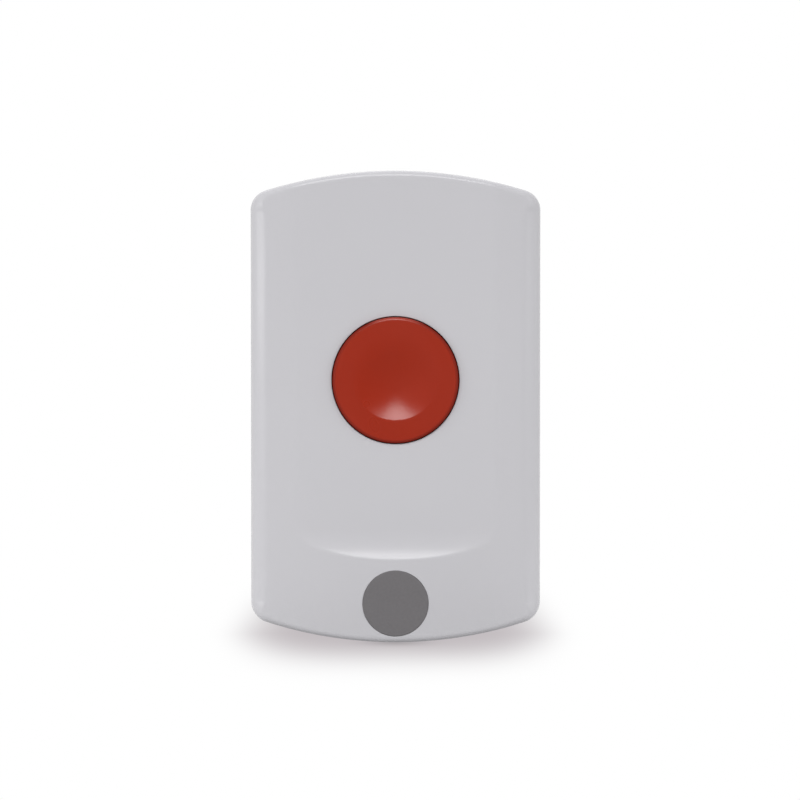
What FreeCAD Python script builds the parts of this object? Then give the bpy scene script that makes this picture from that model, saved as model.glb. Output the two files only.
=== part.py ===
import FreeCAD, Part
import os

import Sketcher

# Wireless panic button for a wall: a crowned plastic case with a dished round push button.
# Pieces are drawn lying on their back: x to the right, y up the case, z out from the wall.
# Every length is in millimetres.

near = 0.01  # points closer than this count as the same

doc = FreeCAD.newDocument("panic_button")
sheet = doc.addObject("Spreadsheet::Sheet", "sizes")

driving_sizes = {
    # case, seen from the front
    "case_width": 53.0,
    "case_height": 86.0,
    "case_depth": 20.0,
    "end_radius": 81.0,
    "corner_radius": 3.8,
    # front face: crown across the width, flat panel, ramp up to the chin
    "crown_radius": 143.0,
    "panel_depth": 1.4,
    "chin_height": 20.5,
    "ramp_radius": 13.0,
    "side_rounding": 3.6,
    "rounding_share": 0.95,
    "foot_rounding": 1.0,
    "edge_softening": 0.4,
    "wall": 2.0,
    # back cover
    "back_depth": 4.5,
    "floor_wall": 2.0,
    "seam_gap": 0.4,
    "back_rounding": 0.8,
    "lip_wall": 1.2,
    "lip_height": 2.0,
    "lip_clearance": 0.15,
    "wall_hole_radius": 2.1,
    "wall_hole_from_top": 19.0,
    "wall_hole_from_foot": 12.0,
    "label_width": 34.0,
    "label_height": 13.0,
    "label_depth": 0.3,
    "label_up": 11.0,
    # hook at the top that the front cover hangs on
    "hook_width": 12.0,
    "hook_reach": 0.7,
    "hook_thickness": 1.2,
    "hook_clearance": 0.2,
    # closing screw at the foot
    "screw_out": 8.5,
    "screw_boss_width": 6.4,
    "screw_boss_length": 6.0,
    "screw_radius": 0.95,
    "screw_length": 6.5,
    "screw_head_radius": 2.0,
    "screw_sinking": 0.3,
    "screw_clearance": 0.1,
    "thread_clearance": 0.05,
    # cross recess of both kinds of screw
    "cross_width": 0.5,
    "cross_depth": 0.6,
    "cross_share": 0.55,
    # badge disc in the chin
    "badge_radius": 6.0,
    "badge_from_foot": 7.15,
    "badge_thickness": 0.8,
    "badge_clearance": 0.05,
    "badge_edge": 0.12,
    # push button
    "button_up": 4.9,
    "button_radius": 11.45,
    "button_gap": 0.3,
    "button_stand": 1.0,
    "button_travel": 0.8,
    "dish_depth": 2.4,
    "dish_sphere": 21.6,
    "rim_rounding": 1.2,
    "cap_wall": 1.5,
    "flange_overlap": 1.05,
    "flange_thickness": 1.0,
    "flange_clearance": 0.1,
    "post_radius": 2.2,
    "post_length": 0.9,
    "ear_radius": 2.2,
    "guide_radius": 0.9,
    "guide_clearance": 0.3,
    "guide_length": 4.1,
    # return spring round the switch
    "spring_radius": 6.2,
    "spring_wire": 0.5,
    "spring_turns": 4.0,
    "spring_seat_width": 2.0,
    "spring_seat_out": 0.6,
    "spring_clearance": 0.05,
    # circuit board and the four screws that hold it
    "board_side_gap": 6.5,
    "board_end_gap": 10.5,
    "board_thickness": 1.6,
    "board_corner": 2.0,
    "boss_radius": 2.5,
    "boss_side_gap": 2.5,
    "boss_end_gap": 3.5,
    "board_screw_radius": 0.8,
    "board_screw_length": 5.5,
    "board_screw_head_radius": 1.8,
    "board_screw_head_height": 1.3,
    "board_hole_clearance": 0.3,
    # long travel switch under the button
    "switch_size": 6.0,
    "switch_housing_height": 3.1,
    "switch_frame_thickness": 0.3,
    "switch_height": 4.3,
    "plunger_radius": 1.75,
    "plunger_clearance": 0.1,
    "plunger_flange": 0.6,
    "plunger_flange_width": 0.45,
    # coin cell with its holder and contacts
    "cell_radius": 12.25,
    "cell_cap_radius": 10.0,
    "cell_cap_height": 0.3,
    "cell_rounding": 0.5,
    "cell_drop": 13.0,
    "cell_room": 1.6,
    "contact_thickness": 0.3,
    "contact_radius": 3.5,
    "holder_wall": 1.7,
    "cell_above_holder": 1.0,
    "holder_clearance": 0.2,
    "holder_mouth": 14.0,
    "clip_width": 6.0,
    "clip_clearance": 0.1,
    # radio can with its chip
    "shield_width": 15.0,
    "shield_height": 13.0,
    "shield_depth": 2.2,
    "shield_sheet": 0.2,
    "shield_up": 17.0,
    "radio_chip_size": 5.0,
    "radio_chip_height": 0.9,
    # coil antenna
    "antenna_up": 24.0,
    "antenna_radius": 2.2,
    "antenna_wire": 0.7,
    "antenna_length": 16.0,
    "antenna_pitch": 2.0,
    "antenna_clearance": 0.1,
    # other parts on the board's front
    "controller_size": 7.0,
    "controller_height": 1.0,
    "controller_side": 11.0,
    "controller_from_foot": 17.5,
    "crystal_width": 3.2,
    "crystal_height": 2.5,
    "crystal_depth": 0.8,
    "crystal_gap": 1.2,
    "reservoir_radius": 2.5,
    "reservoir_height": 5.4,
    "reservoir_side": 12.0,
    "reservoir_from_foot": 13.5,
    "chip_length": 1.6,
    "chip_width": 0.8,
    "chip_height": 0.45,
    "chip_pitch": 2.6,
    "resistors_from_foot": 7.5,
    "capacitors_up": 15.0,
}

for row, (alias, size) in enumerate(driving_sizes.items(), start=1):
    sheet.set(f"A{row}", alias)
    sheet.set(f"B{row}", str(size))
    sheet.setAlias(f"B{row}", alias)
doc.recompute()

# Levels out from the wall, worked out from the driving sizes
panel_out = "(sizes.case_depth - sizes.panel_depth)"
panel_inside = f"({panel_out} - sizes.wall)"
front_cover_rear = "(sizes.back_depth + sizes.seam_gap)"
lip_top = f"({front_cover_rear} + sizes.lip_height)"
rim_out = f"({panel_out} + sizes.button_stand)"
flange_front = f"({panel_inside} - sizes.flange_clearance)"
flange_rear = f"({flange_front} - sizes.flange_thickness)"
plunger_top = f"({rim_out} - sizes.dish_depth - sizes.cap_wall - sizes.post_length)"
board_front = f"({plunger_top} - sizes.switch_height)"
board_rear = f"({board_front} - sizes.board_thickness)"
cell_rear = "(sizes.floor_wall + sizes.cell_room)"
# the cell fills the depth that is left behind the board, 5 mm as drawn
cell_thickness = f"({board_rear} - sizes.contact_thickness - {cell_rear})"
holder_height = f"({cell_thickness} + sizes.contact_thickness - sizes.cell_above_holder)"

# Heights above the middle of the case
ramp_up = "(sizes.chin_height - sizes.case_height / 2)"
badge_up = "(sizes.badge_from_foot - sizes.case_height / 2)"
wall_holes_up = ["(sizes.case_height / 2 - sizes.wall_hole_from_top)",
                 "(sizes.wall_hole_from_foot - sizes.case_height / 2)"]

# Distances across the case and the board
hole_radius = "(sizes.button_radius + sizes.button_gap)"
flange_radius = f"({hole_radius} + sizes.flange_overlap)"
guide_side = f"({flange_radius} + sizes.guide_radius)"
inner_foot = "(sizes.case_height / 2 - sizes.wall)"
lip_inset = "(sizes.wall + sizes.lip_clearance)"
tray_inset = f"({lip_inset} + sizes.lip_wall)"
# the side rounding has to stay inside the outline's corner
side_rounding = "min(sizes.side_rounding; sizes.rounding_share * sizes.corner_radius)"
board_width = "(sizes.case_width - 2 * sizes.board_side_gap)"
board_height = "(sizes.case_height - 2 * sizes.board_end_gap)"
board_foot = f"(-{board_height} / 2)"
boss_side = f"({board_width} / 2 - sizes.boss_side_gap)"
boss_end = f"({board_height} / 2 - sizes.boss_end_gap)"
boss_spots = [(f"{across}{boss_side}", f"{upwards}{boss_end}")
              for across in ("-", "") for upwards in ("-", "")]


def value(formula):
    """Number that a formula in the sheet's sizes has now."""
    return float(sheet.evalExpression(formula))


def tie(thing, formulas):
    """Bind properties of an object to formulas in the sheet's sizes."""
    for name, formula in formulas.items():
        thing.setExpression(name, formula)
    return thing


places = {}


def put(thing, x="0", up="0", out="0"):
    """Bind an object's place on its back: across, up the case, out from the wall."""
    places[thing.Name] = (x, up, out)
    return tie(thing, {"Placement.Base.x": x, "Placement.Base.y": up, "Placement.Base.z": out})


def stand(thing):
    """Turn a finished piece up against the wall: out from the wall becomes -y, up becomes z."""
    x, up, out = places.get(thing.Name, ("0", "0", "0"))
    upwards = FreeCAD.Rotation(FreeCAD.Vector(1, 0, 0), 90)
    thing.Placement.Rotation = upwards * thing.Placement.Rotation
    return tie(thing, {"Placement.Base.x": x, "Placement.Base.y": f"-({out})",
                       "Placement.Base.z": up})


def rod(name, radius, length, x="0", up="0", out="0"):
    """Round bar that stands out from the wall."""
    bar = doc.addObject("Part::Cylinder", name)
    tie(bar, {"Radius": radius, "Height": length})
    return put(bar, x, up, out)


def brick(name, width, height, depth, x="0", up="0", out="0"):
    """Block centred on x and up, standing out from a level."""
    box = doc.addObject("Part::Box", name)
    tie(box, {"Length": width, "Width": height, "Height": depth})
    return put(box, f"{x} - {width} / 2", f"{up} - {height} / 2", out)


def fuse(name, pieces):
    """One solid from pieces that overlap."""
    whole = doc.addObject("Part::MultiFuse", name)
    whole.Shapes = pieces
    return whole


def cut(name, base, tools):
    """Base with the tools taken away from it."""
    tool = tools[0] if len(tools) == 1 else fuse(f"{name}_tools", tools)
    rest = doc.addObject("Part::Cut", name)
    rest.Base = base
    rest.Tool = tool
    return rest


def sketch_on(body, name, role):
    """Empty sketch on one of the body's own origin planes."""
    plane = next(f for f in body.Origin.OriginFeatures if f.Role == role)
    sketch = body.newObject("Sketcher::SketchObject", name)
    sketch.AttachmentSupport = [(plane, "")]
    sketch.MapMode = "FlatFace"
    return sketch


def hold_point(sketch, geometry, point, x, y, label):
    """Hold a sketch point at formulas for its two coordinates."""
    for kind, axis, formula in (("DistanceX", -2, x), ("DistanceY", -1, y)):
        if formula == "0":
            sketch.addConstraint(Sketcher.Constraint("PointOnObject", geometry, point, axis))
            continue
        number = sketch.addConstraint(
            Sketcher.Constraint(kind, -1, 1, geometry, point, value(formula)))
        name = f"{label}_{kind[-1].lower()}"
        sketch.renameConstraint(number, name)
        sketch.setExpression(f"Constraints.{name}", formula)


def draw_outline(sketch, corners, arcs=None):
    """Closed outline through the corners. An arc's formula is its radius, in the dictionary
    under the number of the corner it starts from: plus turns left and minus turns right."""
    arcs = arcs or {}
    points = [FreeCAD.Vector(value(x), value(y), 0) for x, y in corners]
    ends = []
    for number, start in enumerate(points):
        stop = points[(number + 1) % len(points)]
        if number not in arcs:
            edge = sketch.addGeometry(Part.LineSegment(start, stop))
            ends.append((edge, 1, 2))
            continue
        left = not arcs[number].startswith("-")
        radius = abs(value(arcs[number]))
        chord = stop - start
        normal = FreeCAD.Vector(-chord.y, chord.x, 0).normalize()
        rise = (radius ** 2 - (chord.Length / 2) ** 2) ** 0.5
        centre = (start + stop) / 2 + normal * (rise if left else -rise)
        bulge = (start + stop) / 2 - centre
        middle = centre + bulge.normalize() * radius
        first, last = (start, stop) if left else (stop, start)
        edge = sketch.addGeometry(Part.Arc(first, middle, last))
        ends.append((edge, 1, 2) if left else (edge, 2, 1))
    for number, (edge, begin, end) in enumerate(ends):
        following, follow_begin, _ = ends[(number + 1) % len(ends)]
        sketch.addConstraint(Sketcher.Constraint("Coincident", edge, end, following, follow_begin))
        hold_point(sketch, edge, begin, *corners[number], f"corner{number}")
        if number in arcs:
            formula = arcs[number].lstrip("-")
            index = sketch.addConstraint(Sketcher.Constraint("Radius", edge, value(formula)))
            sketch.renameConstraint(index, f"radius{number}")
            sketch.setExpression(f"Constraints.radius{number}", formula)
    return sketch


def draw_circle(sketch, x, y, radius):
    """Circle with its centre and radius held by formulas."""
    centre = FreeCAD.Vector(value(x), value(y), 0)
    circle = sketch.addGeometry(Part.Circle(centre, FreeCAD.Vector(0, 0, 1), value(radius)))
    index = sketch.addConstraint(Sketcher.Constraint("Radius", circle, value(radius)))
    sketch.renameConstraint(index, "radius")
    sketch.setExpression("Constraints.radius", radius)
    hold_point(sketch, circle, 3, x, y, "centre")
    return sketch


def pad(body, sketch, length, both_ways=False):
    """Solid of a sketch's outline, raised by a length."""
    feature = body.newObject("PartDesign::Pad", f"{sketch.Name}_pad")
    feature.Profile = sketch
    feature.Midplane = both_ways
    tie(feature, {"Length": length})
    return feature


def turn(body, sketch):
    """Solid of a sketch's outline, turned about its upright axis."""
    feature = body.newObject("PartDesign::Revolution", f"{sketch.Name}_turned")
    feature.Profile = sketch
    feature.ReferenceAxis = (sketch, ["V_Axis"])
    feature.Angle = 360
    return feature


def coil(name, radius, wire, pitch, length):
    """Round wire wound about the z axis, its lowest centre at z = 0."""
    body = doc.addObject("PartDesign::Body", name)
    sketch = draw_circle(sketch_on(body, f"{name}_wire", "XZ_Plane"), radius, "0", f"{wire} / 2")
    feature = body.newObject("PartDesign::AdditiveHelix", f"{name}_coil")
    feature.Profile = sketch
    feature.ReferenceAxis = (sketch, ["V_Axis"])
    feature.Mode = "pitch-height-angle"
    tie(feature, {"Pitch": pitch, "Height": length})
    return body


def round_edges(name, base, radii_of):
    """Base with a fillet on each edge that radii_of gives two end radii for."""
    doc.recompute()
    rounded = doc.addObject("Part::Fillet", name)
    rounded.Base = base
    rounded.Edges = [(number, *radii) for number, edge in enumerate(base.Shape.Edges, start=1)
                     if (radii := radii_of(edge))]
    return rounded


def edge_points(edge):
    """Start, middle and end of an edge, in the order of its own parameter."""
    first, last = edge.FirstParameter, edge.LastParameter
    return [edge.valueAt(first + (last - first) * share) for share in (0, 0.5, 1)]


def case_prism(name, inset, start, length):
    """The case's front outline, drawn in by inset, from one level outwards."""
    half_width = f"(sizes.case_width / 2 - {inset})"
    radius = f"(sizes.end_radius - {inset})"
    shoulder = (f"(sizes.case_height / 2 - sizes.end_radius"
                f" + sqrt({radius} ^ 2 - {half_width} ^ 2))")
    body = doc.addObject("PartDesign::Body", name)
    sketch = sketch_on(body, f"{name}_outline", "XY_Plane")
    draw_outline(sketch, [(half_width, f"-{shoulder}"), (half_width, shoulder),
                          (f"-{half_width}", shoulder), (f"-{half_width}", f"-{shoulder}")],
                 {1: radius, 3: radius})
    raised = pad(body, sketch, length)
    doc.recompute()
    corners = [f"Edge{number}" for number, edge in enumerate(raised.Shape.Edges, start=1)
               if edge.BoundBox.XLength < near and edge.BoundBox.YLength < near]
    rounded = body.newObject("PartDesign::Fillet", f"{name}_corners")
    rounded.Base = (raised, corners)
    tie(rounded, {"Radius": f"sizes.corner_radius - {inset}"})
    return put(body, out=start)


def crowned_block(name, inset, start, side, foot):
    """Case outline under a crowned front, with rounded front edges, a flat panel and the
    ramp that rises from it to the chin, all drawn in by inset."""
    crown_radius = f"(sizes.crown_radius - {inset})"
    crown_centre = "(sizes.case_depth - sizes.crown_radius)"
    prism = case_prism(f"{name}_prism", inset, start, f"sizes.case_depth - {start}")
    crown = doc.addObject("Part::Cylinder", f"{name}_crown")
    tie(crown, {"Radius": crown_radius, "Height": "2 * sizes.case_height"})
    crown.Placement.Rotation = FreeCAD.Rotation(FreeCAD.Vector(1, 0, 0), 90)
    put(crown, up="sizes.case_height", out=crown_centre)
    crowned = doc.addObject("Part::Common", f"{name}_crowned")
    crowned.Base = prism
    crowned.Tool = crown

    def on_crown(point):
        reach = FreeCAD.Vector(point.x, 0, point.z - value(crown_centre)).Length
        return abs(reach - value(crown_radius)) < near

    def front_edge(edge):
        begin, middle, end = edge_points(edge)
        if not (on_crown(begin) and on_crown(middle) and on_crown(end)):
            return None
        if begin.y * end.y < 0:
            return value(side), value(side)
        near_end = value(side if middle.y > 0 else foot)
        if begin.x * end.x < 0:
            return near_end, near_end
        outer_first = abs(begin.x) > abs(end.x)
        return (value(side), near_end) if outer_first else (near_end, value(side))

    rounded = round_edges(f"{name}_rounded", crowned, front_edge)

    ramp_radius = f"(sizes.ramp_radius + {inset})"
    floor = f"({panel_out} - {inset})"
    sixth_down = f"({ramp_up} - {ramp_radius} * sqrt(3) / 2)"
    sixth_out = f"({floor} + {ramp_radius} / 2)"
    scoop = doc.addObject("PartDesign::Body", f"{name}_scoop")
    section = sketch_on(scoop, f"{name}_section", "YZ_Plane")
    draw_outline(section, [("sizes.case_height", floor), (ramp_up, floor),
                           (sixth_down, sixth_out), ("sizes.case_height", sixth_out)],
                 {1: f"-{ramp_radius}"})
    pad(scoop, section, "2 * sizes.case_width", both_ways=True)
    return cut(name, rounded, [scoop]), on_crown


def make_front_cover():
    """Crowned shell with the button's hole, guide posts, board bosses and badge recess."""
    outer, on_crown = crowned_block("case_outside", "0", front_cover_rear,
                                    side_rounding, "sizes.foot_rounding")

    def panel_border(edge):
        begin, middle, end = edge_points(edge)
        softening = (value("sizes.edge_softening"),) * 2
        across = begin.x * end.x < 0
        on_smile = on_crown(begin) and on_crown(middle) and on_crown(end)
        chin_edge = on_smile and -value(inner_foot) < middle.y < value(ramp_up)
        brow = abs(middle.z - value(panel_out)) < near and middle.y > value(hole_radius)
        return softening if across and (chin_edge or brow) else None

    softened = round_edges("case_softened", outer, panel_border)
    inner_rounding = "((sizes.corner_radius - sizes.wall) / 2)"
    cavity, _ = crowned_block("case_inside", "sizes.wall", "0", inner_rounding, inner_rounding)
    shell = cut("cover_shell", softened, [cavity])

    bosses = [rod("board_boss", "sizes.boss_radius",
                  f"{panel_inside} + sizes.wall / 2 - {board_front}", x, up, board_front)
              for x, up in boss_spots]
    posts = [rod("guide_post", "sizes.guide_radius", "sizes.guide_length + sizes.wall / 2",
                 f"{across}{guide_side}", "sizes.button_up",
                 f"{panel_inside} - sizes.guide_length") for across in ("-", "")]
    filled = fuse("cover_with_bosses", [shell] + bosses + posts)

    opened = [rod("button_hole", hole_radius, "sizes.case_depth", up="sizes.button_up"),
              rod("badge_recess", "sizes.badge_radius + sizes.badge_clearance",
                  "sizes.badge_thickness + sizes.wall", up=badge_up,
                  out="sizes.case_depth - sizes.badge_thickness")]
    opened += [rod("boss_pilot", "sizes.board_screw_radius + sizes.thread_clearance",
                   "sizes.board_screw_length - sizes.board_thickness + sizes.wall / 4",
                   x, up, board_front) for x, up in boss_spots]
    pocket_height = "(sizes.wall + sizes.hook_reach + sizes.hook_clearance)"
    opened.append(brick("hook_pocket", "(sizes.hook_width + 2 * sizes.hook_clearance)",
                        pocket_height, "(sizes.hook_thickness + 2 * sizes.hook_clearance)",
                        up=f"({inner_foot} - sizes.wall + {pocket_height} / 2)",
                        out=f"({lip_top} - sizes.hook_thickness - sizes.hook_clearance)"))
    opened.append(screw_seat())
    return cut("front_cover", filled, opened)


def upright(thing):
    """Lay a turned shape along the case, so that its z axis points up the case."""
    thing.Placement.Rotation = FreeCAD.Rotation(FreeCAD.Vector(1, 0, 0), -90)
    return thing


screw_head_height = "(sizes.screw_head_radius - sizes.screw_radius)"
screw_head_up = "(-sizes.case_height / 2 + sizes.screw_sinking)"


def screw_seat():
    """Sunk seat and clearance hole for the closing screw, through the foot of the cover."""
    room = "sizes.screw_clearance"
    sink = upright(rod("screw_sink", f"sizes.screw_head_radius + {room}", "sizes.wall",
                       up=f"{screw_head_up} - sizes.wall", out="sizes.screw_out"))
    seat = doc.addObject("Part::Cone", "screw_cone_seat")
    tie(seat, {"Radius1": f"sizes.screw_head_radius + {room}",
               "Radius2": f"sizes.screw_radius + {room}", "Height": screw_head_height})
    upright(put(seat, up=screw_head_up, out="sizes.screw_out"))
    way = upright(rod("screw_way", f"sizes.screw_radius + {room}", "2 * sizes.wall",
                      up=screw_head_up, out="sizes.screw_out"))
    return fuse("screw_seat", [sink, seat, way])


def make_cross(name, head_radius, x="0", up="0", out="0"):
    """The two arms of a cross recess, cut into a screw head from a level."""
    across = f"(2 * sizes.cross_share * {head_radius})"
    return [brick(f"{name}_cross", width, height, "sizes.cross_depth", x, up, out)
            for width, height in ((across, "sizes.cross_width"), ("sizes.cross_width", across))]


def make_cover_screw():
    """Closing screw with a sunk cross head."""
    head = doc.addObject("Part::Cone", "cover_screw_head")
    tie(head, {"Radius1": "sizes.screw_head_radius", "Radius2": "sizes.screw_radius",
               "Height": screw_head_height})
    shank = rod("cover_screw_shank", "sizes.screw_radius", "sizes.screw_length")
    whole = fuse("cover_screw_blank", [head, shank])
    return cut("cover_screw", whole, make_cross("cover_screw", "sizes.screw_head_radius"))


def make_back_cover():
    """Tray that is screwed to the wall, with a lip, a hook at the top and a boss at the foot."""
    tray = case_prism("back_tray", "0", "0", "sizes.back_depth")

    def rear_edge(edge):
        flat = all(abs(point.z) < near for point in edge_points(edge))
        return (value("sizes.back_rounding"),) * 2 if flat else None

    rounded = round_edges("back_tray_rounded", tray, rear_edge)
    lip = case_prism("back_lip", lip_inset, "sizes.floor_wall", f"{lip_top} - sizes.floor_wall")
    room = case_prism("back_room", tray_inset, "sizes.floor_wall", "sizes.case_depth")
    hollow = cut("back_hollow", fuse("back_blank", [rounded, lip]), [room])

    hook_length = "(sizes.lip_wall + sizes.lip_clearance + sizes.hook_reach)"
    hook = brick("back_hook", "sizes.hook_width", hook_length, "sizes.hook_thickness",
                 up=f"({inner_foot} + sizes.hook_reach - {hook_length} / 2)",
                 out=f"({lip_top} - sizes.hook_thickness)")
    boss_top = "(sizes.screw_out + sizes.screw_boss_width / 2)"
    boss_foot = f"({inner_foot} - sizes.lip_clearance)"
    boss = brick("back_boss", "sizes.screw_boss_width", "sizes.screw_boss_length",
                 f"({boss_top} - sizes.floor_wall / 2)",
                 up=f"(sizes.screw_boss_length / 2 - {boss_foot})", out="sizes.floor_wall / 2")
    filled = fuse("back_filled", [hollow, hook, boss])

    pilot = upright(rod("boss_bore", "sizes.screw_radius + sizes.thread_clearance",
                        "sizes.screw_length + sizes.screw_clearance",
                        up=screw_head_up, out="sizes.screw_out"))
    holes = [rod("wall_hole", "sizes.wall_hole_radius", "2 * sizes.floor_wall",
                 up=up, out="-sizes.floor_wall / 2") for up in wall_holes_up]
    label_field = brick("label_field", "sizes.label_width", "sizes.label_height",
                        "2 * sizes.label_depth", up="sizes.label_up", out="-sizes.label_depth")
    return cut("back_cover", filled, [pilot, label_field] + holes)


def make_badge_disc():
    """Plain inlaid disc with a slightly broken front edge."""
    disc = rod("badge_blank", "sizes.badge_radius", "sizes.badge_thickness")

    def front_rim(edge):
        points = edge_points(edge)
        on_front = all(abs(point.z - value("sizes.badge_thickness")) < near for point in points)
        return (value("sizes.badge_edge"),) * 2 if on_front else None

    return round_edges("badge_disc", disc, front_rim)


def make_panic_button():
    """Turned cap with a dished face, a skirt, a flange behind the cover and a middle post."""
    sphere = f"({rim_out} - sizes.dish_depth + sizes.dish_sphere)"
    inner_sphere = "(sizes.dish_sphere + sizes.cap_wall)"
    skirt_inside = "(sizes.button_radius - sizes.cap_wall)"
    seat_inside = "(sizes.spring_radius - sizes.spring_seat_width / 2)"
    seat_outside = "(sizes.spring_radius + sizes.spring_seat_width / 2)"
    seat_out = f"({flange_rear} - sizes.spring_seat_out)"
    dish_edge = "sqrt(sizes.dish_sphere ^ 2 - (sizes.dish_sphere - sizes.dish_depth) ^ 2)"

    def under(radius):
        return f"({sphere} - sqrt({inner_sphere} ^ 2 - {radius} ^ 2))"

    body = doc.addObject("PartDesign::Body", "button_cap")
    sketch = sketch_on(body, "button_profile", "XZ_Plane")
    corners = [
        ("0", plunger_top),
        ("sizes.post_radius", plunger_top),
        ("sizes.post_radius", under("sizes.post_radius")),
        (seat_inside, under(seat_inside)),
        (seat_inside, seat_out),
        (seat_outside, seat_out),
        (seat_outside, under(seat_outside)),
        (skirt_inside, under(skirt_inside)),
        (skirt_inside, flange_rear),
        (flange_radius, flange_rear),
        (flange_radius, flange_front),
        ("sizes.button_radius", flange_front),
        ("sizes.button_radius", f"({rim_out} - sizes.rim_rounding)"),
        ("(sizes.button_radius - sizes.rim_rounding)", rim_out),
        (f"({dish_edge})", rim_out),
        ("0", f"({rim_out} - sizes.dish_depth)"),
    ]
    draw_outline(sketch, corners, {2: inner_sphere, 6: inner_sphere, 12: "sizes.rim_rounding",
                                   14: "-sizes.dish_sphere"})
    turn(body, sketch)
    ears = [rod("button_ear", "sizes.ear_radius", "sizes.flange_thickness",
                f"{across}{guide_side}", out=flange_rear) for across in ("-", "")]
    holes = [rod("ear_hole", "sizes.guide_radius + sizes.guide_clearance", "sizes.case_depth",
                 f"{across}{guide_side}") for across in ("-", "")]
    return cut("panic_button", fuse("button_with_ears", [body] + ears), holes)


def make_return_spring():
    """Open coil spring round the switch, between the board and the cap."""
    seat_out = f"({flange_rear} - sizes.spring_seat_out)"
    room = f"({seat_out} - {board_front} - sizes.spring_wire - 2 * sizes.spring_clearance)"
    return coil("return_spring", "sizes.spring_radius", "sizes.spring_wire",
                f"{room} / sizes.spring_turns", room)


def make_circuit_board():
    """Board with rounded corners and four screw holes."""
    body = doc.addObject("PartDesign::Body", "board_blank")
    sketch = sketch_on(body, "board_outline", "XY_Plane")
    side, end = f"{board_width} / 2", f"{board_height} / 2"
    draw_outline(sketch, [(f"-{side}", f"-{end}"), (side, f"-{end}"), (side, end),
                          (f"-{side}", end)])
    raised = pad(body, sketch, "sizes.board_thickness")
    doc.recompute()
    corners = [f"Edge{number}" for number, edge in enumerate(raised.Shape.Edges, start=1)
               if edge.BoundBox.XLength < near and edge.BoundBox.YLength < near]
    rounded = body.newObject("PartDesign::Fillet", "board_corners")
    rounded.Base = (raised, corners)
    tie(rounded, {"Radius": "sizes.board_corner"})
    holes = [rod("board_hole", "sizes.board_screw_radius + sizes.board_hole_clearance",
                 "sizes.board_thickness", x, up) for x, up in boss_spots]
    return cut("circuit_board", body, holes)


def make_board_screws():
    """Four pan head screws, driven from the rear of the board into the cover's bosses."""
    screws = []
    for x, up in boss_spots:
        head = rod("board_screw_head", "sizes.board_screw_head_radius",
                   "sizes.board_screw_head_height", x, up, "-sizes.board_screw_head_height")
        shank = rod("board_screw_shank", "sizes.board_screw_radius", "sizes.board_screw_length",
                    x, up)
        cross = make_cross("board_screw", "sizes.board_screw_head_radius", x, up,
                           "-sizes.board_screw_head_height")
        screws.append(cut("board_screw", fuse("board_screw_blank", [head, shank]), cross))
    group = doc.addObject("Part::Compound", "board_screws")
    group.Links = screws
    return group


def make_switch():
    """Housing, sprung plunger and sheet metal frame of the switch, from the board outwards."""
    size = "sizes.switch_size"
    flange = "(sizes.plunger_radius + sizes.plunger_flange_width)"
    well = "(sizes.plunger_flange + sizes.button_travel + sizes.switch_frame_thickness)"
    housing = cut("switch_housing",
                  brick("switch_block", size, size, "sizes.switch_housing_height"),
                  [rod("switch_well", f"{flange} + sizes.plunger_clearance", well,
                       out=f"sizes.switch_housing_height - {well}")])
    sheet_metal = "sizes.switch_frame_thickness"
    cap = brick("switch_cap", f"({size} + 2 * {sheet_metal})", size, sheet_metal,
                out="sizes.switch_housing_height")
    flaps = [brick("switch_flap", sheet_metal, size, "sizes.switch_housing_height",
                   f"{across}({size} + {sheet_metal}) / 2") for across in ("-", "")]
    frame = cut("switch_frame", fuse("switch_frame_blank", [cap] + flaps),
                [rod("frame_hole", "sizes.plunger_radius + sizes.plunger_clearance",
                     "sizes.case_depth")])
    seat = "(sizes.switch_housing_height - sizes.plunger_flange - sizes.thread_clearance)"
    plunger = fuse("switch_plunger",
                   [rod("plunger_foot", flange, "sizes.plunger_flange", out=seat),
                    rod("plunger_stem", "sizes.plunger_radius", f"sizes.switch_height - {seat}",
                        out=seat)])
    return housing, frame, plunger


def make_coin_cell():
    """Can with a rounded rear edge and the raised cap of its negative pole."""
    body = doc.addObject("PartDesign::Body", "coin_cell")
    sketch = sketch_on(body, "cell_profile", "XZ_Plane")
    shoulder = f"({cell_thickness} - sizes.cell_cap_height)"
    draw_outline(sketch, [("0", "0"), ("(sizes.cell_radius - sizes.cell_rounding)", "0"),
                          ("sizes.cell_radius", "sizes.cell_rounding"),
                          ("sizes.cell_radius", shoulder), ("sizes.cell_cap_radius", shoulder),
                          ("sizes.cell_cap_radius", cell_thickness), ("0", cell_thickness)],
                 {1: "sizes.cell_rounding"})
    turn(body, sketch)
    return body


holder_outside = "(sizes.cell_radius + sizes.holder_clearance + sizes.holder_wall)"


def make_cell_holder():
    """Ring round the cell, open at the foot so that a finger can push the cell out."""
    rear = f"-{holder_height}"
    ring = rod("holder_ring", holder_outside, holder_height, out=rear)
    bore = rod("holder_bore", "sizes.cell_radius + sizes.holder_clearance", holder_height,
               out=rear)
    mouth = brick("holder_mouth", "sizes.holder_mouth", holder_outside,
                  f"({holder_height} - sizes.contact_thickness)",
                  up=f"-{holder_outside} / 2", out=rear)
    return cut("cell_holder", ring, [bore, mouth])


def make_cell_clip():
    """Strap of the positive pole, over the cell's rear and down to the board."""
    metal = "sizes.contact_thickness"
    inside = f"({holder_outside} + sizes.clip_clearance)"
    outside = f"({inside} + {metal})"
    strap = f"({cell_thickness} + {metal})"
    body = doc.addObject("PartDesign::Body", "cell_clip")
    sketch = sketch_on(body, "clip_section", "XZ_Plane")
    draw_outline(sketch, [(f"-{outside}", "0"), (f"-{outside}", f"-({strap} + {metal})"),
                          (outside, f"-({strap} + {metal})"), (outside, "0"), (inside, "0"),
                          (inside, f"-{strap}"), (f"-{inside}", f"-{strap}"),
                          (f"-{inside}", "0")])
    pad(body, sketch, "sizes.clip_width", both_ways=True)
    return body


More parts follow.
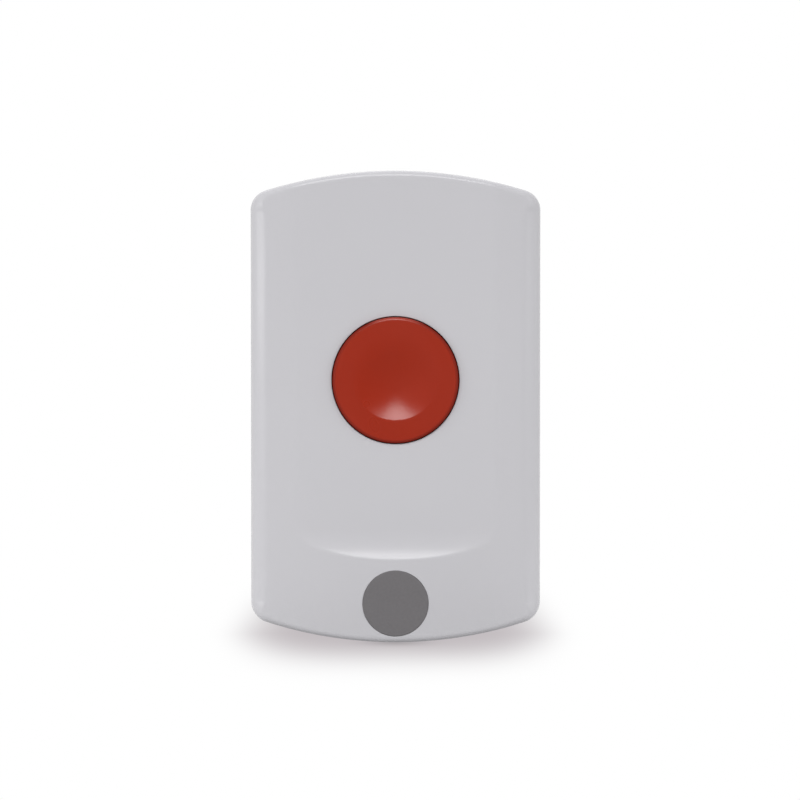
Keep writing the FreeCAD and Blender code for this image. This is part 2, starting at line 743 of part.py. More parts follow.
def make_radio_shield():
    """Tin can with five walls, open towards the board."""
    tin = "sizes.shield_sheet"
    can = brick("shield_can", "sizes.shield_width", "sizes.shield_height", "sizes.shield_depth",
                out="-sizes.shield_depth")
    room = brick("shield_room", f"(sizes.shield_width - 2 * {tin})",
                 f"(sizes.shield_height - 2 * {tin})", "sizes.shield_depth",
                 out=f"({tin} - sizes.shield_depth)")
    return cut("radio_shield", can, [room])


def make_antenna():
    """Wire coil that lies across the top of the board."""
    body = coil("coil_antenna", "sizes.antenna_radius", "sizes.antenna_wire",
                "sizes.antenna_pitch", "sizes.antenna_length")
    body.Placement.Rotation = FreeCAD.Rotation(FreeCAD.Vector(0, 1, 0), 90)
    return body


def chip_row(name, count, up, out):
    """Row of a count of small chip parts, as one group."""
    group = doc.addObject("Part::Compound", name)
    group.Links = [brick(f"{name}_chip", "sizes.chip_width", "sizes.chip_length",
                         "sizes.chip_height",
                         f"({number} - {count - 1} / 2) * sizes.chip_pitch", up, out)
                   for number in range(count)]
    return group


front_cover = make_front_cover()
back_cover = make_back_cover()
cover_screw = upright(put(make_cover_screw(), up=screw_head_up, out="sizes.screw_out"))
badge_disc = put(make_badge_disc(), up=badge_up,
                 out="sizes.case_depth - sizes.badge_thickness")
panic_button = put(make_panic_button(), up="sizes.button_up")
return_spring = put(make_return_spring(), up="sizes.button_up",
                    out=f"{board_front} + sizes.spring_wire / 2 + sizes.spring_clearance")
circuit_board = put(make_circuit_board(), out=board_rear)
board_screws = put(make_board_screws(), out=board_rear)
switch_housing, switch_frame, switch_plunger = [
    put(piece, up="sizes.button_up", out=board_front) for piece in make_switch()]
coin_cell = put(make_coin_cell(), up="-sizes.cell_drop", out=cell_rear)
cell_holder = put(make_cell_holder(), up="-sizes.cell_drop", out=board_rear)
cell_clip = put(make_cell_clip(), up="-sizes.cell_drop", out=board_rear)
cell_contact = rod("cell_contact", "sizes.contact_radius", "sizes.contact_thickness",
                   up="-sizes.cell_drop", out=f"{board_rear} - sizes.contact_thickness")
radio_shield = put(make_radio_shield(), up="sizes.shield_up", out=board_rear)
radio_chip = brick("radio_chip", "sizes.radio_chip_size", "sizes.radio_chip_size",
                   "sizes.radio_chip_height", up="sizes.shield_up",
                   out=f"{board_rear} - sizes.radio_chip_height")
antenna_axis = (f"{board_front} + sizes.antenna_radius + sizes.antenna_wire / 2"
                " + sizes.antenna_clearance")
coil_antenna = put(make_antenna(), x="-sizes.antenna_length / 2", up="sizes.antenna_up",
                   out=antenna_axis)
controller_up = f"({board_foot} + sizes.controller_from_foot)"
controller_chip = brick("controller_chip", "sizes.controller_size", "sizes.controller_size",
                        "sizes.controller_height", "-sizes.controller_side", controller_up,
                        board_front)
crystal = brick("crystal", "sizes.crystal_width", "sizes.crystal_height", "sizes.crystal_depth",
                "(-sizes.controller_side + sizes.controller_size / 2 + sizes.crystal_gap"
                " + sizes.crystal_width / 2)", controller_up, board_front)
reservoir = rod("reservoir_capacitor", "sizes.reservoir_radius", "sizes.reservoir_height",
                "sizes.reservoir_side", f"{board_foot} + sizes.reservoir_from_foot", board_front)
chip_resistors = chip_row("chip_resistors", 6, f"({board_foot} + sizes.resistors_from_foot)",
                          board_front)
chip_capacitors = chip_row("chip_capacitors", 4, "sizes.capacitors_up", board_front)

nodes = {
    "front_cover": front_cover,
    "back_cover": back_cover,
    "cover_screw": cover_screw,
    "badge_disc": badge_disc,
    "panic_button": panic_button,
    "return_spring": return_spring,
    "circuit_board": circuit_board,
    "board_screws": board_screws,
    "switch_housing": switch_housing,
    "switch_frame": switch_frame,
    "switch_plunger": switch_plunger,
    "coin_cell": coin_cell,
    "cell_holder": cell_holder,
    "cell_clip": cell_clip,
    "cell_contact": cell_contact,
    "radio_shield": radio_shield,
    "radio_chip": radio_chip,
    "coil_antenna": coil_antenna,
    "controller_chip": controller_chip,
    "crystal": crystal,
    "reservoir_capacitor": reservoir,
    "chip_resistors": chip_resistors,
    "chip_capacitors": chip_capacitors,
}

for label, thing in nodes.items():
    stand(thing).Label = label
doc.recompute()

failed = [thing.Name for thing in doc.Objects if {"Invalid", "Error"} & set(thing.State)]
if failed:
    raise RuntimeError(f"objects failed: {failed}")
for thing in doc.Objects:
    if thing.TypeId == "Part::Cut" and not thing.Shape.Volume < thing.Base.Shape.Volume:
        raise RuntimeError(f"{thing.Name} takes nothing away")
for label, thing in nodes.items():
    if thing.Shape.isNull() or not thing.Shape.isValid():
        raise RuntimeError(f"{label} has no valid shape")

os.makedirs("parts", exist_ok=True)
for label, thing in nodes.items():
    thing.Shape.exportStep(f"parts/{label}.step")
    print(label, len(thing.Shape.Solids), "solid(s),", round(thing.Shape.Volume, 1), "cubic mm")
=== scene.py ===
import math

import bmesh
import bpy
import mathutils
import numpy as np
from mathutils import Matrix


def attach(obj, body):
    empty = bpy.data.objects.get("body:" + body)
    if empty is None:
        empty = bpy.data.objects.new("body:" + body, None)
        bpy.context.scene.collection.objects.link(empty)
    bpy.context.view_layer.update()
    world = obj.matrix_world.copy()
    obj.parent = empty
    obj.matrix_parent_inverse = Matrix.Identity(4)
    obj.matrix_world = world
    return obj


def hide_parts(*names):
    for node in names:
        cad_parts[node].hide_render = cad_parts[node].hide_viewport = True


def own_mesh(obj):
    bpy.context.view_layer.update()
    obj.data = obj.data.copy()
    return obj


# Wireless panic button: a moulded case, a dished red button and a plain inlaid disc.
# Shapes are written in millimetres: x to the right, up the case, out from the wall.

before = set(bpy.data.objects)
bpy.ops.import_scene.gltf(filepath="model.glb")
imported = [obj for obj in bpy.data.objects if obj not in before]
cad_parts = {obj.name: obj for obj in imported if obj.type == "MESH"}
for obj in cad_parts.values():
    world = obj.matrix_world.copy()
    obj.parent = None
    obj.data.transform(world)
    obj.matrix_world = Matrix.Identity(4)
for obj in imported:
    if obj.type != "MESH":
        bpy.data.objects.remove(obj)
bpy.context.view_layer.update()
print("frame loaded:", len(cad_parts), "nodes")

mm = 0.001
turn = 2 * math.pi
meshing = {
    "merge": 0.0005,  # points closer than this are one
    "sharp": 32.0,  # degrees; flatter edges are shaded smooth
}


# meshes from numpy grids

def place(x, up, out):
    # millimetres across, up and out from the wall give a point of the frame in metres
    x, up, out = np.broadcast_arrays(x, up, out)
    return np.stack([x, -out, up], axis=-1) * mm


def cells(rows, cols, around):
    # the four corner numbers of every cell of a grid; around joins the last column to the first
    steps = cols if around else cols - 1
    row, col = np.meshgrid(np.arange(rows - 1), np.arange(steps), indexing="ij")
    here, above, after = row * cols, (row + 1) * cols, (col + 1) % cols
    return np.stack([here + col, here + after, above + after, above + col], axis=-1).reshape(-1, 4)


def meshOf(name, grids):
    # joins (points, around) grids, merges the rows and poles they share, turns faces outwards
    points, faces, first = [], [], 0
    for grid, around in grids:
        rows, cols = grid.shape[:2]
        points.append(grid.reshape(-1, 3))
        faces.append(cells(rows, cols, around) + first)
        first += rows * cols
    mesh = bpy.data.meshes.new(name)
    mesh.from_pydata(np.concatenate(points).tolist(), [], np.concatenate(faces).tolist())
    solid = bmesh.new()
    solid.from_mesh(mesh)
    bmesh.ops.remove_doubles(solid, verts=solid.verts, dist=meshing["merge"] * mm)
    bmesh.ops.recalc_face_normals(solid, faces=solid.faces)
    solid.to_mesh(mesh)
    solid.free()
    return mesh


def addPiece(name, mesh, material, body, stands):
    # one finished piece at the origin, riding on a body and standing for CAD nodes
    piece = bpy.data.objects.new(name, mesh)
    bpy.context.scene.collection.objects.link(piece)
    mesh.materials.clear()
    mesh.materials.append(material)
    mesh.shade_smooth()
    mesh.set_sharp_from_angle(angle=math.radians(meshing["sharp"]))
    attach(piece, body)
    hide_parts(*stands)
    return piece


def arc(x, y, radius, start, end, count):
    # points of a circular arc about (x, y), between two angles in degrees
    angle = np.radians(np.linspace(start, end, count))
    return np.column_stack([x + radius * np.cos(angle), y + radius * np.sin(angle)])


def turned(profile, x, beside, cols, standing=False):
    # a profile of (radius, height) carried round an axis that runs out from the wall at x and
    # up, or, standing, up the case at x and out: a grid, and that it closes on itself
    radius, height = (column[:, None] for column in np.asarray(profile, float).T)
    angle = np.linspace(0, turn, cols, endpoint=False)
    across, beside = x + radius * np.cos(angle), beside + radius * np.sin(angle)
    grid = place(across, height, beside) if standing else place(across, beside, height)
    return grid, True


# materials

def linear(code):
    # sRGB hex to the linear colour that the shader wants
    parts = np.array([int(code[i:i + 2], 16) for i in (1, 3, 5)]) / 255
    parts = np.where(parts <= 0.04045, parts / 12.92, ((parts + 0.055) / 1.055) ** 2.4)
    return (*parts.tolist(), 1.0)


def addNode(tree, kind, inputs=None, **settings):
    # adds one node with its settings; each input is a value or the output that feeds it
    node = tree.nodes.new(kind)
    for name, setting in settings.items():
        setattr(node, name, setting)
    for name, given in (inputs or {}).items():
        if isinstance(given, bpy.types.NodeSocket):
            tree.links.new(given, node.inputs[name])
        else:
            node.inputs[name].default_value = given
    return node


def mouldedPlastic(name, look):
    # an injection moulded plastic: tool grain as bump, flow marks in colour, handling in roughness
    material = bpy.data.materials.new(name)
    material.use_nodes = True
    tree = material.node_tree
    shader = tree.nodes["Principled BSDF"]
    where = addNode(tree, "ShaderNodeTexCoord").outputs["Object"]
    flow = addNode(tree, "ShaderNodeTexNoise", {
        "Vector": where, "Scale": 1 / (look["flowSize"] * mm), "Detail": 2.0, "Roughness": 0.4})
    tone = addNode(tree, "ShaderNodeMix", {
        "Factor": flow.outputs["Fac"], "A": linear(look["dark"]), "B": linear(look["light"])},
        data_type="RGBA")
    tree.links.new(tone.outputs["Result"], shader.inputs["Base Color"])
    rub = addNode(tree, "ShaderNodeTexNoise", {
        "Vector": where, "Scale": 1 / (look["rubSize"] * mm), "Detail": 2.0, "Roughness": 0.5})
    wear = addNode(tree, "ShaderNodeMapRange", {
        "Value": rub.outputs["Fac"], "From Min": 0.2, "From Max": 0.8,
        "To Min": look["roughness"] - look["rub"], "To Max": look["roughness"] + look["rub"]})
    tree.links.new(wear.outputs["Result"], shader.inputs["Roughness"])
    grain = addNode(tree, "ShaderNodeTexNoise", {
        "Vector": where, "Scale": 1 / (look["grainSize"] * mm), "Detail": 3.0, "Roughness": 0.55})
    bump = addNode(tree, "ShaderNodeBump", {
        "Height": grain.outputs["Fac"], "Strength": look["grain"],
        "Distance": look["grainDepth"] * mm})
    tree.links.new(bump.outputs["Normal"], shader.inputs["Normal"])
    shader.inputs["IOR"].default_value = look["ior"]
    shader.inputs["Specular IOR Level"].default_value = look["shine"]
    return material


# ABS from a satin tool: pale cool grey, an even soft sheen, almost no grain at arm's length
caseAbs = mouldedPlastic("absSatinGrey", {
    "dark": "#C9C8CC", "light": "#CDCCD0", "flowSize": 30.0,
    "roughness": 0.25, "rub": 0.03, "rubSize": 9.0,
    "grainSize": 0.45, "grain": 0.12, "grainDepth": 0.02, "ior": 1.54, "shine": 0.33})

# ABS from a polished tool: brick red with a soft reflection; a painted shade darkens it over the
# rim's rounding
buttonAbs = mouldedPlastic("absGlossRed", {
    "dark": "#A0280E", "light": "#A42A10", "flowSize": 12.0,
    "roughness": 0.295, "rub": 0.03, "rubSize": 9.0,
    "grainSize": 0.5, "grain": 0.08, "grainDepth": 0.02, "ior": 1.54, "shine": 0.5})

# screen printed polycarbonate inlay: flat mid grey with the fine mottle of satin ink
badgeInk = mouldedPlastic("polycarbonateSatinGrey", {
    "dark": "#6E6C6E", "light": "#787577", "flowSize": 0.5,
    "roughness": 0.42, "rub": 0.04, "rubSize": 3.0,
    "grainSize": 0.2, "grain": 0.25, "grainDepth": 0.01, "ior": 1.58, "shine": 0.4})
print("materials made")


# case front

case = {
    "halfWidth": 26.5, "halfHeight": 43.0, "depth": 20.0,
    "endRadius": 81.0,  # top and foot edges, seen from the front
    "cornerRadius": 3.8,
    "crownRadius": 143.0,  # across the width
    "panelOut": 18.85,  # 0.25 further out than the solids' panel, for the ramp's outline
    "rampUp": -22.5,  # where the panel starts to rise to the chin
    "rampRadius": 13.0,
    "sideRounding": 3.6,
    "endRounding": 1.0,
    "shareWidth": 14,  # points each way over which one rounding turns into the other
    "rampEnd": 60.0,  # degrees; the ramp's circle is followed no further than this
    "softening": 0.12,  # blend of panel and crown
    "rear": 4.9,
    "wall": 2.0,
    "innerRounding": 0.9,
    "holeUp": 4.9, "holeRadius": 11.68, "holeEdge": 0.1,
    "holeTurns": (30, 60, 90),  # degrees; rows of the hole's rounded edge
    "step": 0.55,  # spacing of the grid's columns along the outline
    "cornerFine": 3,  # so many times closer at the corners
    "raySteps": 400,  # steps in which a ray is searched for the crease
    "creaseLimits": (0.3, 1.0),  # share of a ray before it, and mm that are left behind it
    "crowding": 3.2,  # how much closer the rows lie at the crease
    # rows of the two skins: up the wall, over the border, and outside and within the crease
    "outerRows": {"wall": 5, "round": 17, "outside": 20, "within": 44},
    "innerRows": {"wall": 3, "round": 6, "outside": 8, "within": 16},
}


def outline():
    # the case's outline from the front as points and outward directions, once round from the
    # right side up: straight sides, circles at the corners and over the two ends
    side, corner, end = case["halfWidth"], case["cornerRadius"], case["endRadius"]
    cornerX = side - corner
    endUp = case["halfHeight"] - end  # centre of the top edge's circle
    cornerUp = endUp + math.sqrt((end - corner) ** 2 - cornerX ** 2)
    lean = math.atan2(cornerUp - endUp, cornerX)

    def straight(x, low, high):
        # an even row of points along one side, all facing away from the middle
        count = round(abs(high - low) / case["step"])
        up = np.linspace(low, high, count, endpoint=False)
        return np.column_stack([np.full(count, x), up]), np.tile([np.sign(x), 0.0], (count, 1))

    def bend(x, up, radius, start, stop, fine=1):
        # even steps along a circle about (x, up), each point facing away from that centre
        count = round(abs(stop - start) * radius / case["step"] * fine)
        angle = np.linspace(start, stop, count, endpoint=False)
        away = np.column_stack([np.cos(angle), np.sin(angle)])
        return np.array([x, up]) + radius * away, away

    half, fine = turn / 2, case["cornerFine"]
    parts = [straight(side, -cornerUp, cornerUp),
             bend(cornerX, cornerUp, corner, 0, lean, fine),
             bend(0, endUp, end, lean, half - lean),
             bend(-cornerX, cornerUp, corner, half - lean, half, fine),
             straight(-side, cornerUp, -cornerUp),
             bend(-cornerX, -cornerUp, corner, half, half + lean, fine),
             bend(0, -endUp, end, half + lean, turn - lean),
             bend(cornerX, -cornerUp, corner, turn - lean, turn, fine)]
    points, away = (np.concatenate(piece) for piece in zip(*parts))
    counts = [len(piece[0]) for piece in parts]
    # share of the ends' small rounding: none on the sides, growing round the corners
    grow = np.linspace(0, 1, counts[1], endpoint=False)
    share = np.concatenate([np.zeros(counts[0]), grow, np.ones(counts[2]), 1 - grow,
                            np.zeros(counts[4]), grow, np.ones(counts[6]), 1 - grow])
    width = case["shareWidth"]
    around = np.concatenate([share[-width:], share, share[:width]])
    share = np.convolve(around, np.ones(2 * width + 1) / (2 * width + 1), "valid")
    return points, away, share


def crown(x, inset):
    # height of the cylinder that crowns the front, at a distance across
    radius = case["crownRadius"]
    return case["depth"] - radius + np.sqrt((radius - inset) ** 2 - x ** 2)


def scoop(up, inset):
    # height of the flat panel, and of the ramp below it, which curves towards the front
    radius = case["rampRadius"] + inset
    down = np.clip(case["rampUp"] - up, 0, radius * math.sin(math.radians(case["rampEnd"])))
    return case["panelOut"] - inset + radius - np.sqrt(radius ** 2 - down ** 2)


def frontOut(x, up, rise, inset):
    # the lower of crown and scoop, blended over a short way where they meet, less the rounding
    a, b = crown(x, inset), scoop(up, inset)
    blend = case["softening"]
    return np.minimum(a, b) - np.maximum(blend - np.abs(a - b), 0) ** 2 / (4 * blend) - rise


def opening(start, stop, count):
    # rows from start to stop with ever longer steps: (exp(k * t) - 1) / (exp(k) - 1) of the way
    share = np.expm1(case["crowding"] * np.linspace(0, 1, count)) / math.expm1(case["crowding"])
    return start + (stop - start) * share[:, None]


def skin(inset, rounding, end, rows):
    # one skin of the case front as a grid of rows, from the rear edge over the rounded border and
    # along straight rays to the button's hole. On each ray the rows crowd round the crease where
    # the flat panel and its ramp meet the crown
    points, away, endShare = outline()
    points = points - inset * away
    radius = rounding + (end - rounding) * endShare
    base = frontOut(points[:, 0], points[:, 1], radius, inset)
    wall = np.linspace(0, 1, rows["wall"])[:, None] * (base - case["rear"]) + case["rear"]
    angle = np.linspace(0, math.pi / 2, rows["round"])[1:, None]
    inwards = rounding * (1 - np.cos(angle))
    x = points[:, 0] - inwards * away[:, 0]
    up = points[:, 1] - inwards * away[:, 1]
    rise = radius - np.sqrt(radius ** 2 - np.maximum(radius - inwards, 0) ** 2)
    rounded = frontOut(x, up, rise, inset)
    band = np.concatenate([place(points[:, 0], points[:, 1], wall), place(x, up, rounded)])

    # rays from the border's last row to the hole, by the angle at the hole's centre
    startX, startUp = x[-1], up[-1]
    heading = np.arctan2(startUp - case["holeUp"], startX)
    hole = case["holeRadius"] + (case["holeEdge"] if inset == 0 else 0)
    length = np.hypot(startX, startUp - case["holeUp"]) - hole
    steps = case["raySteps"]
    along = np.linspace(0, 1, steps + 1)[:, None] * length
    reach = along + hole
    rayX = reach * np.cos(heading)
    rayUp = reach * np.sin(heading) + case["holeUp"]
    over = crown(rayX, inset) - scoop(rayUp, inset)
    last = np.where(over > 0, np.arange(steps + 1)[:, None], 0).max(axis=0).clip(0, steps - 1)
    here, after = (np.take_along_axis(over, (last + k)[None], axis=0)[0] for k in (0, 1))
    share = np.clip(here / np.maximum(here - after, 1e-9), 0, 1)
    least, left = case["creaseLimits"]
    crease = np.clip((last + share) / steps * length, least * length, length - left)
    reach = np.concatenate([opening(crease, length, rows["outside"])[-2::-1],
                            opening(crease, 0 * length, rows["within"])[1:]]) + hole
    rayX = reach * np.cos(heading)
    rayUp = reach * np.sin(heading) + case["holeUp"]
    fan = place(rayX, rayUp, frontOut(rayX, rayUp, 0, inset))
    grids = [band, fan]
    if inset == 0:  # the hole's small rounded edge
        turnIn = np.radians(case["holeTurns"])[:, None]
        reach = hole - case["holeEdge"] * np.sin(turnIn)
        rayX = reach * np.cos(heading)
        rayUp = reach * np.sin(heading) + case["holeUp"]
        drop = case["holeEdge"] * (1 - np.cos(turnIn))
        grids.append(place(rayX, rayUp, frontOut(rayX, rayUp, drop, inset)))
    return np.concatenate(grids)


def caseShell():
    # outer skin, wall of the hole, inner skin and rear rim as one closed grid
    outer = skin(0.0, case["sideRounding"], case["endRounding"], case["outerRows"])
    inner = skin(case["wall"], case["innerRounding"], case["innerRounding"],
                 case["innerRows"])[::-1]
    return np.concatenate([outer, inner, outer[:1]]), True


def combined(name, first, *steps):
    # one mesh out of several closed ones, each joined to the first or taken from it in turn
    whole = bpy.data.objects.new(name, first)
    bpy.context.scene.collection.objects.link(whole)
    tools = []
    for how, mesh in steps:
        tool = bpy.data.objects.new(name, mesh)
        bpy.context.scene.collection.objects.link(tool)
        change = whole.modifiers.new(how, "BOOLEAN")
        change.operation, change.solver, change.object = how, "EXACT", tool
        tools.append(tool)
    bpy.context.view_layer.update()
    seen = whole.evaluated_get(bpy.context.evaluated_depsgraph_get())
    done = bpy.data.meshes.new_from_object(seen)
    for used in (whole, *tools):
        bpy.data.objects.remove(used)
    return done


badge = {
    "radius": 6.0, "gap": 0.05, "depth": 0.8, "edge": 0.1, "up": -35.85, "out": 20.0,
    "cols": 128, "edgeRows": 6, "faceRows": 14,
    "recessEdge": 0.01, "recessCols": 96,
}
screwSeat = {"out": 8.5, "headRadius": 2.1, "wayRadius": 1.05, "sunk": 0.3, "cols": 64}
inside = {
    "bossRadius": 2.5, "bossX": 17.5, "bossUp": 29.0, "bossFoot": 10.5,
    "postRadius": 0.9, "postX": 13.7, "postFoot": 12.5,
    "out": 17.6,  # inside the front wall
    "past": (2.0, 3.0),  # the cutting tools reach this far outside and inside the wall
}


def rod(x, up, radius, low, high, edge=0.15, cols=40):
    # a solid round rod that stands out from the wall
    corner = arc(radius - edge, low + edge, edge, -90, 0, 4)
    top = arc(radius - edge, high - edge, edge, 0, 90, 4)
    return turned(np.concatenate([[[0, low]], corner, top, [[0, high]]]), x, up, cols)


def screwTool():
    # the closing screw's sunk cone and clearance hole, up through the foot wall
    foot = -case["halfHeight"]
    low, high = foot - inside["past"][0], foot + inside["past"][1]
    head, way = screwSeat["headRadius"], screwSeat["wayRadius"]
    top = foot + screwSeat["sunk"]
    deep = top + head - way
    profile = [[0, low], [head, low], [head, top], [way, deep], [way, high], [0, high]]
    return turned(profile, 0, screwSeat["out"], screwSeat["cols"], standing=True)


def caseFront():
    # the shell less the disc's recess and the screw's way, with its bosses and guide posts
    recess = rod(0, badge["up"], badge["radius"] + badge["gap"], badge["out"] - badge["depth"],
                 badge["out"] + inside["past"][0], badge["recessEdge"], badge["recessCols"])
    posts = [rod(sx * inside["bossX"], su * inside["bossUp"], inside["bossRadius"],
                 inside["bossFoot"], inside["out"]) for sx in (-1, 1) for su in (-1, 1)]
    posts += [rod(sx * inside["postX"], case["holeUp"], inside["postRadius"],
                  inside["postFoot"], inside["out"]) for sx in (-1, 1)]
    return combined("caseFront", meshOf("shell", [caseShell()]),
                    ("DIFFERENCE", meshOf("tools", [recess, screwTool()])),
                    ("UNION", meshOf("posts", posts)))


front = addPiece("caseFront", caseFront(), caseAbs, "case", ["front_cover"])
print("case front:", len(front.data.polygons), "faces")


# inlaid disc

def discGrid():
    # a flat disc with a rounded front edge
    low, high, edge = badge["out"] - badge["depth"], badge["out"], badge["edge"]
    corner = arc(badge["radius"] - edge, high - edge, edge, 0, 90, badge["edgeRows"])
    inwards = np.linspace(badge["radius"] - edge, 0, badge["faceRows"])[1:]
    face = np.column_stack([inwards, np.full(len(inwards), high)])
    profile = np.concatenate([[[0, low], [badge["radius"], low]], corner, face])
    return turned(profile, 0, badge["up"], badge["cols"])


disc = addPiece("badgeInlay", meshOf("badgeInlay", [discGrid()]), badgeInk, "case",
                ["badge_disc"])
print("disc:", len(disc.data.polygons), "faces")


# button

button = {
    "up": 4.9, "radius": 11.5, "rimOut": 19.6,
    "rimRadius": 0.6,  # rounding between the side wall and the flat rim
    "bowlRadius": 8.35, "bowlUp": 1.1,  # edge of the bowl, from the button's centre
    "lowest": -2.0,  # the bowl's deepest point lies this far below the button's centre
    "bowlDepth": 1.4,
    "crisp": 1.02, "soft": 3.0,  # how the bowl meets the rim at its foot and at its top
    "order": (1.6, 2.4),  # how round it is towards its foot and towards its top
    "wall": 1.5, "foot": 15.5, "flangeOut": 16.5,
    "flangeRadius": 12.5,  # as far as the bores of the ears
    "seat": (5.2, 7.2, 14.9),  # ring that the return spring pushes on: radii and level
    "post": (2.2, 14.8),  # middle post that meets the switch's plunger: radius and level
    "earX": 13.7, "earRadius": 2.2, "earBore": 1.2, "earCols": 48,
    "cols": 256, "bowlRows": 56, "flatRows": 6, "rimRows": 14,
    "crowding": 1.4,  # of the bowl's rows towards its edge
    "paintedShadeFrom": 10.78, "paintedShadeTo": 11.3,  # radii over which a painted shade darkens the rounding and turns down its shine
    # tone of the painted shade on the rim's rounding
    "deep": "#842C22",
    "lit": (10.2, 11.2),  # the painted shade stops above these heights over the button's centre, where the rounding keeps its shine
}


def paintRimShade():
    # painted shade: the red is darkened and its shine turned down over the rim's rounding, save at
    # its very top
    tree = buttonAbs.node_tree
    shader = tree.nodes["Principled BSDF"]
    apart = addNode(tree, "ShaderNodeSeparateXYZ", {
        "Vector": addNode(tree, "ShaderNodeTexCoord").outputs["Object"]})
    rise = addNode(tree, "ShaderNodeMath", {0: apart.outputs["Z"], 1: button["up"] * mm},
                   operation="SUBTRACT").outputs["Value"]
    flat = addNode(tree, "ShaderNodeCombineXYZ", {"X": apart.outputs["X"], "Y": rise})
    radius = addNode(tree, "ShaderNodeVectorMath", {0: flat.outputs["Vector"]},
                     operation="LENGTH")
    edge = addNode(tree, "ShaderNodeMapRange", {
        "Value": radius.outputs["Value"], "From Min": button["paintedShadeFrom"] * mm,
        "From Max": button["paintedShadeTo"] * mm}, interpolation_type="SMOOTHSTEP")
    below = addNode(tree, "ShaderNodeMapRange", {
        "Value": rise, "From Min": button["lit"][0] * mm, "From Max": button["lit"][1] * mm,
        "To Min": 1.0, "To Max": 0.0})
    share = addNode(tree, "ShaderNodeMath", {0: edge.outputs["Result"],
                                             1: below.outputs["Result"]}, operation="MULTIPLY")
    # the painted shade's tone is mixed into the red
    tone = addNode(tree, "ShaderNodeMix", {
        "Factor": share.outputs["Value"], "A": shader.inputs["Base Color"].links[0].from_socket,
        "B": linear(button["deep"])}, data_type="RGBA")
    tree.links.new(tone.outputs["Result"], shader.inputs["Base Color"])
    level = shader.inputs["Specular IOR Level"]
    shine = addNode(tree, "ShaderNodeMapRange", {
        "Value": share.outputs["Value"], "To Min": level.default_value, "To Max": 0.0})
    tree.links.new(shine.outputs["Result"], level)


def capGrid():
    # the bowl as rays from its deepest point to its edge: depth times (1 - share ** order) to a
    # power that changes from crisp below to soft above. Then the flat rim, its rounding, the side
    # wall, the flange and the hollow underside, all by the edge's angle at the button's centre
    angle = np.linspace(0, turn, button["cols"], endpoint=False)
    across, upwards = np.cos(angle), np.sin(angle)
    off = button["lowest"] - button["bowlUp"]
    reach = -off * upwards + np.sqrt((off * upwards) ** 2 - off ** 2 + button["bowlRadius"] ** 2)
    share = 1 - (1 - np.linspace(0, 1, button["bowlRows"])[:, None]) ** button["crowding"]
    lean = (1 + upwards) / 2
    lean = lean ** 2 * (3 - 2 * lean)
    power = button["crisp"] + (button["soft"] - button["crisp"]) * lean
    order = button["order"][0] + (button["order"][1] - button["order"][0]) * lean
    bowl = [share * reach * across, button["lowest"] + share * reach * upwards,
            button["rimOut"] - button["bowlDepth"] * (1 - share ** order) ** power]
    edgeX, edgeUp = bowl[0][-1], bowl[1][-1]
    heading = np.arctan2(edgeUp, edgeX)
    rim = arc(button["radius"] - button["rimRadius"], button["rimOut"] - button["rimRadius"],
              button["rimRadius"], 90, 0, button["rimRows"])
    inner = button["radius"] - button["wall"]
    under = button["rimOut"] - button["bowlDepth"] - button["wall"]
    seatIn, seatOut, seatLevel = button["seat"]
    postRadius, postLevel = button["post"]
    profile = np.concatenate([rim, [
        [button["radius"], button["flangeOut"]], [button["flangeRadius"], button["flangeOut"]],
        [button["flangeRadius"], button["foot"]], [inner, button["foot"]], [inner, under],
        [seatOut, under], [seatOut, seatLevel], [seatIn, seatLevel], [seatIn, under],
        [postRadius, under], [postRadius, postLevel], [0, postLevel]]])
    radius, out = profile.T
    x = radius[:, None] * np.cos(heading)
    up = radius[:, None] * np.sin(heading)
    flat = np.linspace(0, 1, button["flatRows"] + 2)[1:-1, None]
    between = [edgeX + flat * (x[0] - edgeX), edgeUp + flat * (up[0] - edgeUp)]
    return np.concatenate([
        place(bowl[0], bowl[1] + button["up"], bowl[2]),
        place(between[0], between[1] + button["up"], button["rimOut"]),
        place(x, up + button["up"], out[:, None])]), True


def earGrid(side):
    # a flat ring beside the flange that slides on its guide post
    low, high = button["foot"], button["flangeOut"]
    outer, bore = button["earRadius"], button["earBore"]
    profile = [[bore, low], [outer, low], [outer, high], [bore, high], [bore, low]]
    return turned(profile, side * button["earX"], button["up"], button["earCols"])


# paints shade onto the button's rim rounding
paintRimShade()
cap = addPiece("buttonCap", meshOf("buttonCap", [capGrid(), earGrid(-1), earGrid(1)]),
               buttonAbs, "button", ["panic_button"])
print("button:", len(cap.data.polygons), "faces")


# what the case hides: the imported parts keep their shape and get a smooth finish

def plain(name, dark, light, roughness, metal=0.0):
    # a made part seen only when the case is open: even colour broken by a fine noise
    material = mouldedPlastic(name, {
        "dark": dark, "light": light, "flowSize": 4.0, "roughness": roughness, "rub": 0.05,
        "rubSize": 2.0, "grainSize": 0.3, "grain": 0.15, "grainDepth": 0.01, "ior": 1.5,
        "shine": 0.5})
    material.node_tree.nodes["Principled BSDF"].inputs["Metallic"].default_value = metal
    return material


